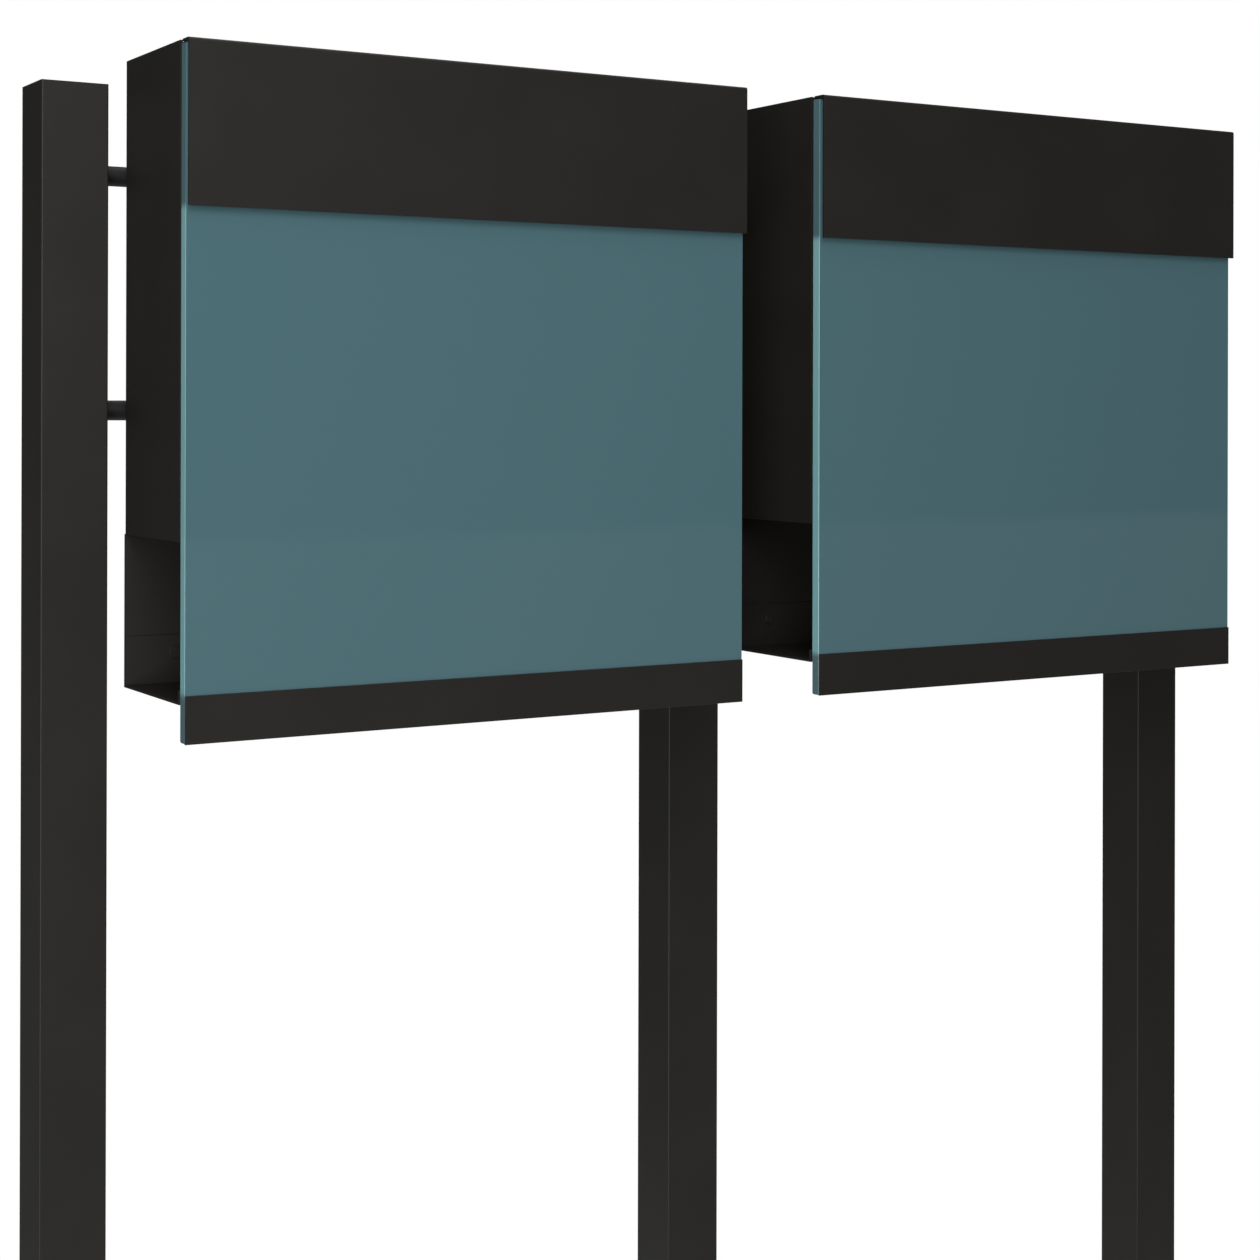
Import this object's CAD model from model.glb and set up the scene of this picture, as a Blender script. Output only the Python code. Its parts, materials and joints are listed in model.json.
import json
import math

import bmesh
import bpy
from mathutils import Matrix, Vector


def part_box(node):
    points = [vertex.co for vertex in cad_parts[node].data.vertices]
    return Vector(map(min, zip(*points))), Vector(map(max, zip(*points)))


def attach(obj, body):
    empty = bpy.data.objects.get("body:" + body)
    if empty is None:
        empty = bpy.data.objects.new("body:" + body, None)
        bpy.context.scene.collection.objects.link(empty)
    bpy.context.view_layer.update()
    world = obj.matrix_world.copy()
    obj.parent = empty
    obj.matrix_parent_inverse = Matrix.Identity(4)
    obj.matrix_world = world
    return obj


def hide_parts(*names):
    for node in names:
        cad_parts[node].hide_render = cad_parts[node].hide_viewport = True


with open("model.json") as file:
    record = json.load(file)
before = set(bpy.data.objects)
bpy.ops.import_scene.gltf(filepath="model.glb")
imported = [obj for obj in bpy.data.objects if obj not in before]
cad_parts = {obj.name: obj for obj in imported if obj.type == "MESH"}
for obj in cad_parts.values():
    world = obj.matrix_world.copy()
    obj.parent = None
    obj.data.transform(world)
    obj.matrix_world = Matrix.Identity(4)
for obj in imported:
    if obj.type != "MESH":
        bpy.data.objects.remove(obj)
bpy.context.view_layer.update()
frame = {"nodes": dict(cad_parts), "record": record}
scene = bpy.context.scene
mm = 0.001
bodyOf = {node: body for body, nodes in frame["record"]["behaviour"]["bodies"].items() for node in nodes}
slotOf = {row["node"]: row["material_slot"] for row in frame["record"]["subparts"]}
sides = ["left", "right"]
posts = ["left", "middle", "right"]
print("frame loaded:", len(frame["nodes"]), "nodes")

# the camera is level, so that the posts stay upright, and its frame is slid down onto the boxes
shot = {
    "place": (-0.8301, -1.2818, 1.0088),     # metres
    "yaw": 31.08, "pitch": 0.06, "roll": 0.13,     # degrees
    "lens": 64.24, "sensorHeight": 36.0, "sensorWidth": 28.0,     # millimetres
    "drop": 0.1763,     # of the sensor
}

cameraData = bpy.data.cameras.new("camera")
cameraData.lens = shot["lens"]
cameraData.sensor_fit = "VERTICAL"
cameraData.sensor_height = shot["sensorHeight"]
cameraData.sensor_width = shot["sensorWidth"]
cameraData.shift_y = -shot["drop"]
cameraData.clip_start = 0.01
camera = bpy.data.objects.new("camera", cameraData)
camera.location = shot["place"]
turn = Matrix.Rotation(-math.radians(shot["yaw"]), 4, "Z")
tilt = Matrix.Rotation(math.radians(90 + shot["pitch"]), 4, "X")
lean = Matrix.Rotation(math.radians(shot["roll"]), 4, "Z")
camera.rotation_euler = (turn @ tilt @ lean).to_euler()
scene.collection.objects.link(camera)
scene.camera = camera
scene.view_settings.view_transform = "Standard"
print("camera placed")


def linear(hexColour):
    shares = [int(hexColour[i:i + 2], 16) / 255 for i in (1, 3, 5)]
    return tuple(c / 12.92 if c <= 0.04045 else ((c + 0.055) / 1.055) ** 2.4 for c in shares) + (1.0,)


def addNode(tree, kind, inputs=None, links=None, **settings):
    node = tree.nodes.new(kind)
    for name, value in settings.items():
        setattr(node, name, value)
    for name, value in (inputs or {}).items():
        node.inputs[name].default_value = value
    for name, source in (links or {}).items():
        tree.links.new(source, node.inputs[name])
    return node


def newMaterial(name, **looks):
    material = bpy.data.materials.new(name)
    material.use_nodes = True
    tree = material.node_tree
    tree.nodes.clear()
    shader = addNode(tree, "ShaderNodeBsdfPrincipled", looks)
    output = addNode(tree, "ShaderNodeOutputMaterial")
    tree.links.new(shader.outputs["BSDF"], output.inputs["Surface"])
    return material, tree, shader


def perMetre(millimetres):     # the scale that gives a pattern of this size on Object coordinates
    return 1000 / millimetres


coat = {
    "colour": "#141310", "worn": "#181613", "rodColour": "#121212", "rodWorn": "#161616",
    "roughness": (0.50, 0.58), "ior": 1.34,
    "cloud": 60, "peel": 2.6, "peelHeight": 0.012, "grain": 0.7, "grainHeight": 0.006,     # millimetres
}


def powderCoat(name, colour, worn):
    # fine-grain polyester powder baked on steel: matt and a little uneven, so broad soft highlights break up
    material, tree, shader = newMaterial(name, IOR=coat["ior"])
    place = addNode(tree, "ShaderNodeTexCoord").outputs["Object"]
    cloud = addNode(tree, "ShaderNodeTexNoise",
                    {"Scale": perMetre(coat["cloud"]), "Detail": 3.0}, {"Vector": place})
    grain = addNode(tree, "ShaderNodeTexNoise",
                    {"Scale": perMetre(coat["grain"]), "Detail": 2.0}, {"Vector": place})
    peel = addNode(tree, "ShaderNodeTexNoise",
                   {"Scale": perMetre(coat["peel"]), "Detail": 1.0}, {"Vector": place})
    tint = addNode(tree, "ShaderNodeValToRGB", None, {"Fac": cloud.outputs["Fac"]})
    tint.color_ramp.elements[0].position = 0.35
    tint.color_ramp.elements[0].color = linear(colour)
    tint.color_ramp.elements[1].position = 0.7
    tint.color_ramp.elements[1].color = linear(worn)
    low, high = coat["roughness"]
    rough = addNode(tree, "ShaderNodeMapRange",
                    {"To Min": low, "To Max": high}, {"Value": grain.outputs["Fac"]})
    fine = addNode(tree, "ShaderNodeBump", {"Strength": 1.0, "Distance": coat["grainHeight"] * mm},
                   {"Height": grain.outputs["Fac"]})
    coarse = addNode(tree, "ShaderNodeBump", {"Strength": 1.0, "Distance": coat["peelHeight"] * mm},
                     {"Height": peel.outputs["Fac"], "Normal": fine.outputs["Normal"]})
    tree.links.new(tint.outputs["Color"], shader.inputs["Base Color"])
    tree.links.new(rough.outputs["Result"], shader.inputs["Roughness"])
    tree.links.new(coarse.outputs["Normal"], shader.inputs["Normal"])
    return material


pane = {
    "colour": "#3d585e", "roughness": (0.005, 0.02), "ior": 1.52,
    "rollerWave": 45, "waveHeight": 0.002, "haze": 8,     # millimetres
}


def lacqueredGlass():
    # float glass with petrol lacquer behind it: one deep even colour under a hard clear gloss
    material, tree, shader = newMaterial("back_lacquered_glass", IOR=pane["ior"])
    shader.inputs["Base Color"].default_value = linear(pane["colour"])
    place = addNode(tree, "ShaderNodeTexCoord").outputs["Object"]
    wave = addNode(tree, "ShaderNodeTexNoise",
                   {"Scale": perMetre(pane["rollerWave"]), "Detail": 0.0}, {"Vector": place})
    haze = addNode(tree, "ShaderNodeTexNoise",
                   {"Scale": perMetre(pane["haze"]), "Detail": 4.0}, {"Vector": place})
    low, high = pane["roughness"]
    rough = addNode(tree, "ShaderNodeMapRange",
                    {"To Min": low, "To Max": high}, {"Value": haze.outputs["Fac"]})
    bump = addNode(tree, "ShaderNodeBump", {"Strength": 1.0, "Distance": pane["waveHeight"] * mm},
                   {"Height": wave.outputs["Fac"]})
    tree.links.new(rough.outputs["Result"], shader.inputs["Roughness"])
    tree.links.new(bump.outputs["Normal"], shader.inputs["Normal"])
    return material


paneEdge = {
    "open": "#6a9497", "covered": "#3f595f", "roughness": (0.3, 0.4),
    "fade": 2, "wheelLines": 1.2, "lineLength": 18,     # millimetres
}


def polishedEdge(coveredAbove, coveredBelow):
    # ground and polished edge of the glass: it gathers light, and glows less beside the flap and the strip
    material, tree, shader = newMaterial("polished_glass_edge", IOR=pane["ior"])
    place = addNode(tree, "ShaderNodeTexCoord").outputs["Object"]
    height = addNode(tree, "ShaderNodeSeparateXYZ", None, {"Vector": place}).outputs["Z"]
    fade = paneEdge["fade"] * mm
    above = addNode(tree, "ShaderNodeMapRange",
                    {"From Min": coveredAbove - fade, "From Max": coveredAbove + fade}, {"Value": height})
    below = addNode(tree, "ShaderNodeMapRange",
                    {"From Min": coveredBelow + fade, "From Max": coveredBelow - fade}, {"Value": height})
    covered = addNode(tree, "ShaderNodeMath",
                      None, {0: above.outputs["Result"], 1: below.outputs["Result"]},
                      operation="MAXIMUM")
    tint = addNode(tree, "ShaderNodeValToRGB", None, {"Fac": covered.outputs["Value"]})
    tint.color_ramp.elements[0].color = linear(paneEdge["open"])
    tint.color_ramp.elements[1].color = linear(paneEdge["covered"])
    across, along = perMetre(paneEdge["wheelLines"]), perMetre(paneEdge["lineLength"])
    lines = addNode(tree, "ShaderNodeMapping", {"Scale": (across, across, along)}, {"Vector": place})
    polish = addNode(tree, "ShaderNodeTexNoise",
                     {"Scale": 1.0, "Detail": 2.0}, {"Vector": lines.outputs["Vector"]})
    low, high = paneEdge["roughness"]
    rough = addNode(tree, "ShaderNodeMapRange",
                    {"To Min": low, "To Max": high}, {"Value": polish.outputs["Fac"]})
    tree.links.new(tint.outputs["Color"], shader.inputs["Base Color"])
    tree.links.new(rough.outputs["Result"], shader.inputs["Roughness"])
    return material


lacquer = {
    "colour": "#4f696e", "roughness": (0.45, 0.6), "ior": 1.45,
    "stipple": 1.5, "stippleHeight": 0.01,     # millimetres
}


def lacquerBack():
    # rolled lacquer as it is seen from the back of the glass: flat paint, a shade greyer, lightly stippled
    material, tree, shader = newMaterial("glass_lacquer_back", IOR=lacquer["ior"])
    shader.inputs["Base Color"].default_value = linear(lacquer["colour"])
    place = addNode(tree, "ShaderNodeTexCoord").outputs["Object"]
    rolled = addNode(tree, "ShaderNodeTexNoise",
                     {"Scale": perMetre(lacquer["stipple"]), "Detail": 3.0}, {"Vector": place})
    bump = addNode(tree, "ShaderNodeBump", {"Strength": 1.0, "Distance": lacquer["stippleHeight"] * mm},
                   {"Height": rolled.outputs["Fac"]})
    low, high = lacquer["roughness"]
    rough = addNode(tree, "ShaderNodeMapRange",
                    {"To Min": low, "To Max": high}, {"Value": rolled.outputs["Fac"]})
    tree.links.new(rough.outputs["Result"], shader.inputs["Roughness"])
    tree.links.new(bump.outputs["Normal"], shader.inputs["Normal"])
    return material


plating = {
    "zinc": "#b9bcbf", "zincRoughness": (0.30, 0.46), "zincBloom": 3.0,     # millimetres
    "nickel": "#c8c2b8", "nickelRoughness": (0.14, 0.30), "nickelBloom": 0.6,     # millimetres
    "dull": 0.72, "bloomHeight": 0.004,     # millimetres
}


def platedMetal(name, colour, roughness, patch):
    # plated metal: metallic, with the faint cloudy bloom that the bath leaves
    material, tree, shader = newMaterial(name, Metallic=1.0)
    place = addNode(tree, "ShaderNodeTexCoord").outputs["Object"]
    bloom = addNode(tree, "ShaderNodeTexNoise",
                    {"Scale": perMetre(patch), "Detail": 4.0}, {"Vector": place})
    tint = addNode(tree, "ShaderNodeValToRGB", None, {"Fac": bloom.outputs["Fac"]})
    tint.color_ramp.elements[0].position = 0.3
    tint.color_ramp.elements[0].color = tuple(plating["dull"] * c for c in linear(colour)[:3]) + (1.0,)
    tint.color_ramp.elements[1].position = 0.7
    tint.color_ramp.elements[1].color = linear(colour)
    low, high = roughness
    rough = addNode(tree, "ShaderNodeMapRange",
                    {"To Min": low, "To Max": high}, {"Value": bloom.outputs["Fac"]})
    bump = addNode(tree, "ShaderNodeBump", {"Strength": 1.0, "Distance": plating["bloomHeight"] * mm},
                   {"Height": bloom.outputs["Fac"]})
    tree.links.new(tint.outputs["Color"], shader.inputs["Base Color"])
    tree.links.new(rough.outputs["Result"], shader.inputs["Roughness"])
    tree.links.new(bump.outputs["Normal"], shader.inputs["Normal"])
    return material


soft = {
    "ior": 1.5,
    "rubber": "#161616", "rubberRoughness": (0.72, 0.8),
    "foam": "#141414", "foamRoughness": (0.87, 0.95),
    "rubberPore": 0.5, "rubberDepth": 0.02, "foamCell": 0.35, "foamDepth": 0.06,     # millimetres
}


def softBlack(name, colour, roughness, cell, depth):
    # rubber or foam: no gloss, only a fine skin of cells
    material, tree, shader = newMaterial(name, IOR=soft["ior"])
    shader.inputs["Base Color"].default_value = linear(colour)
    place = addNode(tree, "ShaderNodeTexCoord").outputs["Object"]
    cells = addNode(tree, "ShaderNodeTexVoronoi", {"Scale": perMetre(cell)}, {"Vector": place})
    bump = addNode(tree, "ShaderNodeBump", {"Strength": 1.0, "Distance": depth * mm},
                   {"Height": cells.outputs["Distance"]})
    low, high = roughness
    rough = addNode(tree, "ShaderNodeMapRange", {"To Min": low, "To Max": high},
                    {"Value": cells.outputs["Distance"]})
    tree.links.new(rough.outputs["Result"], shader.inputs["Roughness"])
    tree.links.new(bump.outputs["Normal"], shader.inputs["Normal"])
    return material


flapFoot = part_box("left_flap")[0].z
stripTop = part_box("left_bottom_strip")[1].z
finishes = {
    "anthracite_coat": powderCoat("anthracite_powder_coat", coat["colour"], coat["worn"]),
    "black_rod": powderCoat("black_powder_coat", coat["rodColour"], coat["rodWorn"]),
    "petrol_glass": lacqueredGlass(),
    "zinc": platedMetal("zinc_plated_steel", plating["zinc"], plating["zincRoughness"],
                        plating["zincBloom"]),
    "nickel": platedMetal("nickel_plated_brass", plating["nickel"], plating["nickelRoughness"],
                          plating["nickelBloom"]),
    "black_rubber": softBlack("moulded_rubber", soft["rubber"], soft["rubberRoughness"],
                              soft["rubberPore"], soft["rubberDepth"]),
    "black_tape": softBlack("foam_tape", soft["foam"], soft["foamRoughness"],
                            soft["foamCell"], soft["foamDepth"]),
}
glassEdge = polishedEdge(flapFoot, stripTop)
glassBack = lacquerBack()
print("materials made:", len(bpy.data.materials))


def finishPiece(bm, name, body, materials, replaced=(), crease=35):     # crease in degrees
    mesh = bpy.data.meshes.new(name)
    bm.to_mesh(mesh)
    bm.free()
    for material in materials:
        mesh.materials.append(material)
    mesh.shade_smooth()
    mesh.set_sharp_from_angle(angle=math.radians(crease))
    piece = bpy.data.objects.new(name, mesh)
    scene.collection.objects.link(piece)
    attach(piece, body)
    if replaced:
        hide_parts(*replaced)
    return piece


def upright(y):     # a plane that faces along Y
    return Matrix.Translation((0, y, 0)) @ Matrix.Rotation(math.radians(90), 4, "X")


def joinedEdges(vertex):     # every edge that can be reached from here
    found, todo = set(), [vertex]
    while todo:
        for edge in todo.pop().link_edges:
            if edge not in found:
                found.add(edge)
                todo += edge.verts
    return list(found)


def roundedLoop(bm, a, b, radius, place, cuts=0):     # a closed loop with round corners, in a placed plane
    older = set(bm.faces)
    corners = [bm.verts.new(place @ Vector((a[i], b[j], 0))) for i, j in ((0, 0), (1, 0), (1, 1), (0, 1))]
    bm.faces.new(corners)
    bmesh.ops.bevel(bm, geom=corners, offset=radius, offset_type="OFFSET", affect="VERTICES", segments=5,
                    profile=0.5, material=-1)
    face = next(f for f in bm.faces if f not in older)
    loop = list(face.edges)
    bmesh.ops.delete(bm, geom=[face], context="FACES_ONLY")
    if cuts:
        longest = max(e.calc_length() for e in loop)
        straight = [e for e in loop if e.calc_length() > longest / 2]
        bmesh.ops.subdivide_edges(bm, edges=straight, cuts=cuts)
    return joinedEdges(loop[0].verts[0] if loop[0].is_valid else loop[1].verts[0])


def circleLoop(bm, a, b, radius, place, steps=48):
    made = bmesh.ops.create_circle(bm, segments=steps, radius=radius,
                                   matrix=place @ Matrix.Translation((a, b, 0)))
    return joinedEdges(made["verts"][0])


def skin(bm, rings, closed=False):     # bridges each ring of loops to the next
    for front, back in zip(rings, rings[1:] + rings[:1] if closed else rings[1:]):
        for one, other in zip(front, back):
            bmesh.ops.bridge_loops(bm, edges=one + other)


# sheet, tube and bar pieces, and the radius in millimetres that coating or deburring leaves on their arrises
arrises = {
    "post": 0.2, "post_cap": 0.7, "base_plate": 0.7, "cross_rod": 0.5, "set_screws": 0.3,
    "housing": 0.4, "mail_floor": 0.3, "newspaper_tray": 0.4, "tray_rivets": 0.3,
    "rod_clamps": 0.5, "clamp_screws": 0.3, "lock_keeper": 0.3,
    "wall_hinge_leaf": 0.2, "door_hinge_leaf": 0.2, "door_hinge_pin": 0.2,
    "door_pan": 0.3, "bonding_tape": 0.0, "bottom_strip": 0.25,
    "flap": 0.4, "flap_hinge_pins": 0.15,
    "lock_body": 0.3, "lock_nut": 0.4, "lock_core": 0.2, "lock_cam": 0.3, "cam_screw": 0.3,
}
easing = {
    "joined": 0.002,     # millimetres, corners of triangles nearer than this are one
    "flat": 0.2, "arris": 35,     # degrees, a bend below the first is none, one above the second is eased
    "segments": 2, "flatness": 80,
}


def nodeMesh(node):     # a joined copy of a CAD node, its flat faces made whole
    bm = bmesh.new()
    bm.from_mesh(frame["nodes"][node].data)
    bmesh.ops.remove_doubles(bm, verts=bm.verts, dist=easing["joined"] * mm)
    bmesh.ops.dissolve_limit(bm, angle_limit=math.radians(easing["flat"]), verts=bm.verts, edges=bm.edges)
    return bm


def easedNode(node, radius):
    slot = slotOf[node]
    piece = finishPiece(nodeMesh(node), node + "_form", bodyOf[node], [finishes[slot]], [node])
    if radius:
        rounding = piece.modifiers.new("arrises", "BEVEL")
        rounding.width = radius * mm
        rounding.segments = easing["segments"]
        rounding.limit_method = "ANGLE"
        rounding.angle_limit = math.radians(easing["arris"])
        flatness = piece.modifiers.new("flat broad faces", "WEIGHTED_NORMAL")
        flatness.keep_sharp = True
        flatness.weight = easing["flatness"]


for node in frame["nodes"]:
    kind = node.split("_", 1)[1]
    if kind in arrises:
        easedNode(node, arrises[kind])
print("sheet, tube and bar pieces eased")

# the glass has dubbed corners and polished arrises; its slot hangs below the top of the housing; millimetres
glass = {
    "arris": 0.25, "corner": 1.5, "lockHole": 8.2,
    "slotMargin": 20, "slotDrop": 20, "slotHeight": 32, "slotCorner": 5,
}


def makeGlass(side):
    node = side + "_glass_front"
    low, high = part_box(node)
    slotX = (low.x + glass["slotMargin"] * mm, high.x - glass["slotMargin"] * mm)
    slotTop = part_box(side + "_housing")[1].z - glass["slotDrop"] * mm
    slotZ = (slotTop - glass["slotHeight"] * mm, slotTop)
    lock = sum(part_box(side + "_lock_core"), Vector()) / 2
    arris = glass["arris"] * mm
    corner = glass["corner"] * mm
    slotCorner = glass["slotCorner"] * mm
    lockHole = glass["lockHole"] * mm
    bm = bmesh.new()
    rings = []
    for y, cut in ((low.y, arris), (low.y + arris, 0), (high.y - arris, 0), (high.y, arris)):
        plane = upright(y)
        rings.append([
            roundedLoop(bm, (low.x + cut, high.x - cut), (low.z + cut, high.z - cut),
                        corner - cut, plane),
            roundedLoop(bm, (slotX[0] - cut, slotX[1] + cut), (slotZ[0] - cut, slotZ[1] + cut),
                        slotCorner + cut, plane),
            circleLoop(bm, lock.x, lock.z, lockHole + cut, plane),
        ])
    skin(bm, rings)
    for ends in (rings[0], rings[-1]):
        outline = [edge for loop in ends for edge in loop]
        bmesh.ops.triangle_fill(bm, use_beauty=True, use_dissolve=False, edges=outline)
    bmesh.ops.recalc_face_normals(bm, faces=bm.faces)
    for face in bm.faces:
        face.material_index = 0 if face.normal.y < -0.95 else 1 if face.normal.y > 0.95 else 2
    finishPiece(bm, side + "_glass_pane", bodyOf[node],
                [finishes["petrol_glass"], glassBack, glassEdge], [node], 20)


bumper = {"radius": 4, "height": 3.2, "dome": 0.9, "steps": 24}     # millimetres, and steps round


def turned(bm, profile, place, steps):     # spins (radius, height) points about the placed Z axis
    older = set(bm.verts)
    points = [bm.verts.new((radius * mm, 0, height * mm)) for radius, height in profile]
    lines = [bm.edges.new(pair) for pair in zip(points, points[1:])]
    bmesh.ops.spin(bm, geom=points + lines, cent=(0, 0, 0), axis=(0, 0, 1), angle=math.radians(360),
                   steps=steps, use_merge=True)
    made = [v for v in bm.verts if v not in older]
    bmesh.ops.remove_doubles(bm, verts=made, dist=0.001 * mm)
    made = [v for v in made if v.is_valid]
    bmesh.ops.recalc_face_normals(bm, faces=list({f for v in made for f in v.link_faces}))
    bmesh.ops.transform(bm, matrix=place, verts=made)


def makeBumpers(side):     # moulded rubber buttons with a domed face
    node = side + "_flap_bumpers"
    low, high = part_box(node)
    radius, dome = bumper["radius"], bumper["dome"]
    shoulder = bumper["height"] - dome
    profile = [(0, 0), (radius, 0), (radius, shoulder)]
    for degrees in range(15, 91, 15):
        bend = math.radians(degrees)
        profile.append((radius * math.cos(bend), shoulder + dome * math.sin(bend)))
    bm = bmesh.new()
    for x in (low.x + radius * mm, high.x - radius * mm):
        seat = Matrix.Translation((x, low.y, (low.z + high.z) / 2))
        lying = Matrix.Rotation(math.radians(-90), 4, "X")
        turned(bm, profile, seat @ lying, bumper["steps"])
    finishPiece(bm, side + "_bumper_buttons", bodyOf[node],
                [finishes["black_rubber"]], [node], 50)


# fillet welds round the feet of the posts, in millimetres; outline and crown are shares of the leg
weld = {
    "leg": 4.0, "corner": 1.0, "crown": 0.62, "sunk": 0.02,
    "ripple": 2.2, "lift": 0.22, "step": 0.55, "rippled": (0.2, 0.95),
}


def makeWeld(which):
    low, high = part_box(which + "_post")
    leg = weld["leg"] * mm
    crown = weld["crown"]
    cuts = round((high.x - low.x) / (weld["step"] * mm))
    bm = bmesh.new()
    rings = []
    for out, up in ((0, 0), (0, 1), (0.3, 0.9), (crown, crown), (0.9, 0.3), (1, 0)):
        grow = out * leg + weld["sunk"] * mm
        plane = Matrix.Translation((0, 0, low.z + up * leg))
        rings.append([roundedLoop(bm, (low.x - grow, high.x + grow), (low.y - grow, high.y + grow),
                                  weld["corner"] * mm + grow, plane, cuts)])
    skin(bm, rings, closed=True)
    bmesh.ops.recalc_face_normals(bm, faces=bm.faces)
    middle = (low + high) / 2
    lowest, highest = weld["rippled"]
    for v in bm.verts:
        if lowest < (v.co.z - low.z) / leg < highest:
            away = v.co - middle
            outward = 0 if abs(away.x) > abs(away.y) else 1     # the axis this side of the weld faces
            along = away[1 - outward] / (weld["ripple"] * mm)
            swell = weld["lift"] * mm * (2 * abs(math.sin(math.pi * along)) - 1)
            v.co[outward] += math.copysign(1, away[outward]) * swell
            v.co.z += swell
    finishPiece(bm, which + "_post_weld", "stand",
                [finishes["anthracite_coat"]], crease=60)


for which in posts:
    makeWeld(which)
for side in sides:
    makeGlass(side)
    makeBumpers(side)
print("glass, bumpers and welds made")

# a pale round floor that melts into the white ground at its rim
stage = {"radius": 1.1, "fade": 0.45, "steps": 96, "colour": "#f2f2f0", "roughness": 0.9}     # metres

bm = bmesh.new()
bmesh.ops.create_circle(bm, cap_ends=True, radius=stage["radius"], segments=stage["steps"])
floorMesh = bpy.data.meshes.new("floor")
bm.to_mesh(floorMesh)
bm.free()
floor = bpy.data.objects.new("floor", floorMesh)
scene.collection.objects.link(floor)
pale, tree, shader = newMaterial("pale_floor", Roughness=stage["roughness"])
shader.inputs["Base Color"].default_value = linear(stage["colour"])
place = addNode(tree, "ShaderNodeTexCoord").outputs["Object"]
fromMiddle = addNode(tree, "ShaderNodeVectorMath", None, {0: place}, operation="LENGTH")
rim = addNode(tree, "ShaderNodeMapRange",
              {"From Min": stage["radius"] - stage["fade"], "From Max": stage["radius"]},
              {"Value": fromMiddle.outputs["Value"]}, interpolation_type="SMOOTHSTEP")
white = addNode(tree, "ShaderNodeEmission", {"Color": linear("#ffffff"), "Strength": 1.0})
melt = addNode(tree, "ShaderNodeMixShader", None,
               {0: rim.outputs["Result"], 1: shader.outputs["BSDF"], 2: white.outputs["Emission"]})
tree.links.new(melt.outputs["Shader"], tree.nodes["Material Output"].inputs["Surface"])
floorMesh.materials.append(pale)

aim = (0.0, 0.0, 0.95)     # every softbox points at the middle of the boxes
lamps = {     # place and side in metres, then watts
    "key": ((-1.0, -2.0, 2.4), 1.2, 41),
    "front": ((-1.6, -2.6, 1.5), 1.4, 30),
    "low": ((-2.4, -2.4, 0.4), 1.4, 71),
    "top": ((0.0, -0.2, 3.5), 2.6, 47),
    "back": ((1.6, 3.2, 2.2), 1.8, 70),
}
for name, (place, size, watts) in lamps.items():
    lampData = bpy.data.lights.new(name, "AREA")
    lampData.shape = "SQUARE"
    lampData.size = size
    lampData.energy = watts
    lamp = bpy.data.objects.new(name, lampData)
    lamp.location = place
    lamp.visible_camera = False
    lamp.rotation_euler = (Vector(aim) - Vector(place)).to_track_quat("-Z", "Y").to_euler()
    scene.collection.objects.link(lamp)

# the object reflects a dim studio, lighter below a level line in front and behind, and is seen on white
studio = {"above": 0.07, "below": 0.22, "horizon": -0.062, "blur": 0.003}     # strengths, then slopes

world = bpy.data.worlds.new("studio")
world.use_nodes = True
scene.world = world
tree = world.node_tree
tree.nodes.clear()
toSky = addNode(tree, "ShaderNodeTexCoord").outputs["Generated"]
toward = addNode(tree, "ShaderNodeSeparateXYZ", None, {"Vector": toSky})
depth = addNode(tree, "ShaderNodeMath", None, {0: toward.outputs["Y"]}, operation="ABSOLUTE")
slope = addNode(tree, "ShaderNodeMath", None, {0: toward.outputs["Z"], 1: depth.outputs["Value"]},
                operation="DIVIDE")
lowest, highest = studio["horizon"] - studio["blur"], studio["horizon"] + studio["blur"]
glow = addNode(tree, "ShaderNodeMapRange",
               {"From Min": lowest, "From Max": highest,
                "To Min": studio["below"], "To Max": studio["above"]}, {"Value": slope.outputs["Value"]})
room = addNode(tree, "ShaderNodeBackground",
               {"Color": linear("#ffffff")}, {"Strength": glow.outputs["Result"]})
ground = addNode(tree, "ShaderNodeBackground", {"Color": linear("#ffffff"), "Strength": 1.0})
seen = addNode(tree, "ShaderNodeLightPath").outputs["Is Camera Ray"]
mixed = addNode(tree, "ShaderNodeMixShader", None,
                {0: seen, 1: room.outputs["Background"], 2: ground.outputs["Background"]})
addNode(tree, "ShaderNodeOutputWorld", None, {"Surface": mixed.outputs["Shader"]})
print("floor, lamps and world set")
